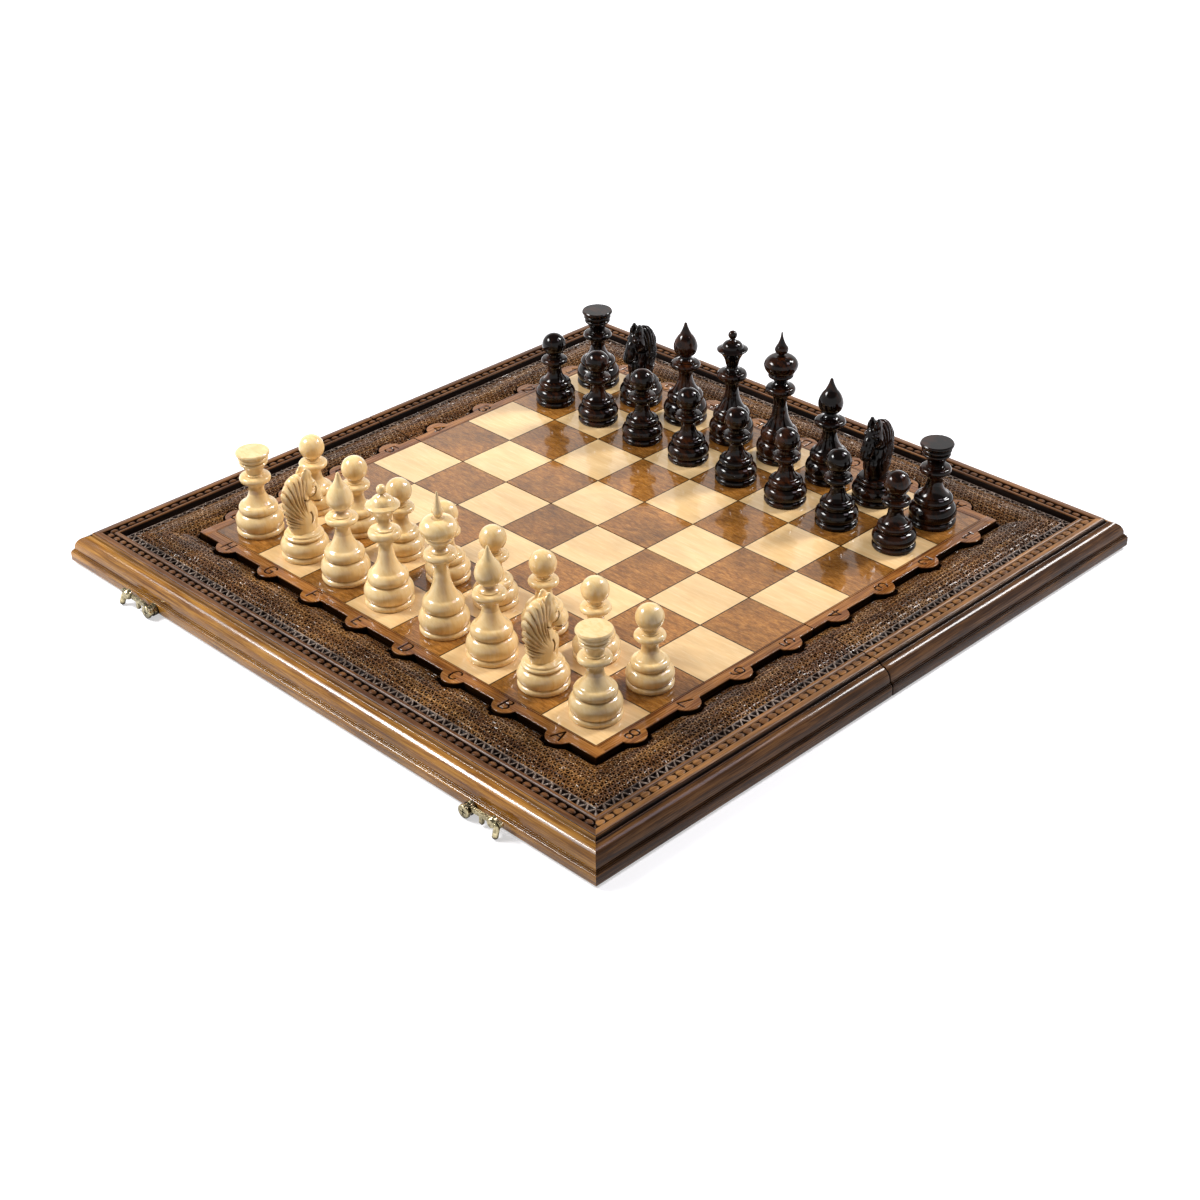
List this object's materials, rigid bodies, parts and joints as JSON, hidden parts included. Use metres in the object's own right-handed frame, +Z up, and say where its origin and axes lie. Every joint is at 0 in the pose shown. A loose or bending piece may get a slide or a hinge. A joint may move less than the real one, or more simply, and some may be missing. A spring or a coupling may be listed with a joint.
{
  "type": "folding chess and backgammon board",
  "caption": "Folding carved wooden game board, chess field outside and backgammon trays inside, with turned chess pieces, butt hinges and hook clasps.",
  "frame": {"origin": "centre of the open board's footprint, at the lowest point of the hinge barrels", "axes": "+X along the fold towards the rail with row numbers that the picture shows, -Y towards the edge with the clasps, +Z up out of the chess field"},
  "size_m": [0.602, 0.6216, 0.1425],
  "materials": {
    "carved_wood": "carved, varnished",
    "rail_wood": "gloss varnish",
    "light_wood": "satin varnish",
    "dark_wood": "satin varnish",
    "brass": "antique",
    "white_pieces": "gloss varnish",
    "black_pieces": "gloss varnish"
  },
  "bodies": {
    "near_half": {"near_panel": "carved_wood", "near_light_squares": "light_wood", "near_dark_squares": "dark_wood", "near_light_points": "light_wood", "near_dark_points": "dark_wood", "near_left_rail": "rail_wood", "near_right_rail": "rail_wood", "near_hinge_rail": "rail_wood", "near_hinge_leaves": "brass", "near_hinge_screws": "brass", "near_front_rail": "rail_wood", "hinge_pins": "brass", "left_clasp_post": "brass", "right_clasp_post": "brass"},
    "far_half": {"far_panel": "carved_wood", "far_light_squares": "light_wood", "far_dark_squares": "dark_wood", "far_light_points": "light_wood", "far_dark_points": "dark_wood", "far_left_rail": "rail_wood", "far_right_rail": "rail_wood", "far_hinge_rail": "rail_wood", "far_hinge_leaves": "brass", "far_hinge_screws": "brass", "far_back_rail": "rail_wood", "clasp_catches": "brass"},
    "left_hook": {"left_clasp_hook": "brass"},
    "right_hook": {"right_clasp_hook": "brass"},
    "white_rook_left": {"white_rook_left": "white_pieces"},
    "white_knight_left": {"white_knight_left": "white_pieces"},
    "white_bishop_left": {"white_bishop_left": "white_pieces"},
    "white_queen": {"white_queen": "white_pieces"},
    "white_king": {"white_king": "white_pieces"},
    "white_bishop_right": {"white_bishop_right": "white_pieces"},
    "white_knight_right": {"white_knight_right": "white_pieces"},
    "white_rook_right": {"white_rook_right": "white_pieces"},
    "white_pawn_1": {"white_pawn_1": "white_pieces"},
    "white_pawn_2": {"white_pawn_2": "white_pieces"},
    "white_pawn_3": {"white_pawn_3": "white_pieces"},
    "white_pawn_4": {"white_pawn_4": "white_pieces"},
    "white_pawn_5": {"white_pawn_5": "white_pieces"},
    "white_pawn_6": {"white_pawn_6": "white_pieces"},
    "white_pawn_7": {"white_pawn_7": "white_pieces"},
    "white_pawn_8": {"white_pawn_8": "white_pieces"},
    "black_rook_left": {"black_rook_left": "black_pieces"},
    "black_knight_left": {"black_knight_left": "black_pieces"},
    "black_bishop_left": {"black_bishop_left": "black_pieces"},
    "black_queen": {"black_queen": "black_pieces"},
    "black_king": {"black_king": "black_pieces"},
    "black_bishop_right": {"black_bishop_right": "black_pieces"},
    "black_knight_right": {"black_knight_right": "black_pieces"},
    "black_rook_right": {"black_rook_right": "black_pieces"},
    "black_pawn_1": {"black_pawn_1": "black_pieces"},
    "black_pawn_2": {"black_pawn_2": "black_pieces"},
    "black_pawn_3": {"black_pawn_3": "black_pieces"},
    "black_pawn_4": {"black_pawn_4": "black_pieces"},
    "black_pawn_5": {"black_pawn_5": "black_pieces"},
    "black_pawn_6": {"black_pawn_6": "black_pieces"},
    "black_pawn_7": {"black_pawn_7": "black_pieces"},
    "black_pawn_8": {"black_pawn_8": "black_pieces"}
  },
  "joints": [
    {"name": "board_fold", "type": "hinge", "parent": "near_half", "child": "far_half", "pos_m": [0, 0, 0.0015], "axis": [-1, 0, 0], "range_deg": [0, 180]},
    {"name": "clasp_left_swing", "type": "hinge", "parent": "near_half", "child": "left_hook", "pos_m": [-0.184, -0.3064, 0.0059], "axis": [0, -1, 0], "range_deg": [0, 90]},
    {"name": "clasp_right_swing", "type": "hinge", "parent": "near_half", "child": "right_hook", "pos_m": [0.184, -0.3064, 0.0059], "axis": [0, 1, 0], "range_deg": [0, 90]},
    {"name": "lift_white_rook_left", "type": "slide", "parent": "near_half", "child": "white_rook_left", "axis": [0, 0, 1], "range_m": [0, 0.13]},
    {"name": "lift_white_knight_left", "type": "slide", "parent": "near_half", "child": "white_knight_left", "axis": [0, 0, 1], "range_m": [0, 0.13]},
    {"name": "lift_white_bishop_left", "type": "slide", "parent": "near_half", "child": "white_bishop_left", "axis": [0, 0, 1], "range_m": [0, 0.13]},
    {"name": "lift_white_queen", "type": "slide", "parent": "near_half", "child": "white_queen", "axis": [0, 0, 1], "range_m": [0, 0.13]},
    {"name": "lift_white_king", "type": "slide", "parent": "near_half", "child": "white_king", "axis": [0, 0, 1], "range_m": [0, 0.13]},
    {"name": "lift_white_bishop_right", "type": "slide", "parent": "near_half", "child": "white_bishop_right", "axis": [0, 0, 1], "range_m": [0, 0.13]},
    {"name": "lift_white_knight_right", "type": "slide", "parent": "near_half", "child": "white_knight_right", "axis": [0, 0, 1], "range_m": [0, 0.13]},
    {"name": "lift_white_rook_right", "type": "slide", "parent": "near_half", "child": "white_rook_right", "axis": [0, 0, 1], "range_m": [0, 0.13]},
    {"name": "lift_white_pawn_1", "type": "slide", "parent": "near_half", "child": "white_pawn_1", "axis": [0, 0, 1], "range_m": [0, 0.13]},
    {"name": "lift_white_pawn_2", "type": "slide", "parent": "near_half", "child": "white_pawn_2", "axis": [0, 0, 1], "range_m": [0, 0.13]},
    {"name": "lift_white_pawn_3", "type": "slide", "parent": "near_half", "child": "white_pawn_3", "axis": [0, 0, 1], "range_m": [0, 0.13]},
    {"name": "lift_white_pawn_4", "type": "slide", "parent": "near_half", "child": "white_pawn_4", "axis": [0, 0, 1], "range_m": [0, 0.13]},
    {"name": "lift_white_pawn_5", "type": "slide", "parent": "near_half", "child": "white_pawn_5", "axis": [0, 0, 1], "range_m": [0, 0.13]},
    {"name": "lift_white_pawn_6", "type": "slide", "parent": "near_half", "child": "white_pawn_6", "axis": [0, 0, 1], "range_m": [0, 0.13]},
    {"name": "lift_white_pawn_7", "type": "slide", "parent": "near_half", "child": "white_pawn_7", "axis": [0, 0, 1], "range_m": [0, 0.13]},
    {"name": "lift_white_pawn_8", "type": "slide", "parent": "near_half", "child": "white_pawn_8", "axis": [0, 0, 1], "range_m": [0, 0.13]},
    {"name": "lift_black_rook_left", "type": "slide", "parent": "far_half", "child": "black_rook_left", "axis": [0, 0, 1], "range_m": [0, 0.13]},
    {"name": "lift_black_knight_left", "type": "slide", "parent": "far_half", "child": "black_knight_left", "axis": [0, 0, 1], "range_m": [0, 0.13]},
    {"name": "lift_black_bishop_left", "type": "slide", "parent": "far_half", "child": "black_bishop_left", "axis": [0, 0, 1], "range_m": [0, 0.13]},
    {"name": "lift_black_queen", "type": "slide", "parent": "far_half", "child": "black_queen", "axis": [0, 0, 1], "range_m": [0, 0.13]},
    {"name": "lift_black_king", "type": "slide", "parent": "far_half", "child": "black_king", "axis": [0, 0, 1], "range_m": [0, 0.13]},
    {"name": "lift_black_bishop_right", "type": "slide", "parent": "far_half", "child": "black_bishop_right", "axis": [0, 0, 1], "range_m": [0, 0.13]},
    {"name": "lift_black_knight_right", "type": "slide", "parent": "far_half", "child": "black_knight_right", "axis": [0, 0, 1], "range_m": [0, 0.13]},
    {"name": "lift_black_rook_right", "type": "slide", "parent": "far_half", "child": "black_rook_right", "axis": [0, 0, 1], "range_m": [0, 0.13]},
    {"name": "lift_black_pawn_1", "type": "slide", "parent": "far_half", "child": "black_pawn_1", "axis": [0, 0, 1], "range_m": [0, 0.13]},
    {"name": "lift_black_pawn_2", "type": "slide", "parent": "far_half", "child": "black_pawn_2", "axis": [0, 0, 1], "range_m": [0, 0.13]},
    {"name": "lift_black_pawn_3", "type": "slide", "parent": "far_half", "child": "black_pawn_3", "axis": [0, 0, 1], "range_m": [0, 0.13]},
    {"name": "lift_black_pawn_4", "type": "slide", "parent": "far_half", "child": "black_pawn_4", "axis": [0, 0, 1], "range_m": [0, 0.13]},
    {"name": "lift_black_pawn_5", "type": "slide", "parent": "far_half", "child": "black_pawn_5", "axis": [0, 0, 1], "range_m": [0, 0.13]},
    {"name": "lift_black_pawn_6", "type": "slide", "parent": "far_half", "child": "black_pawn_6", "axis": [0, 0, 1], "range_m": [0, 0.13]},
    {"name": "lift_black_pawn_7", "type": "slide", "parent": "far_half", "child": "black_pawn_7", "axis": [0, 0, 1], "range_m": [0, 0.13]},
    {"name": "lift_black_pawn_8", "type": "slide", "parent": "far_half", "child": "black_pawn_8", "axis": [0, 0, 1], "range_m": [0, 0.13]}
  ]
}
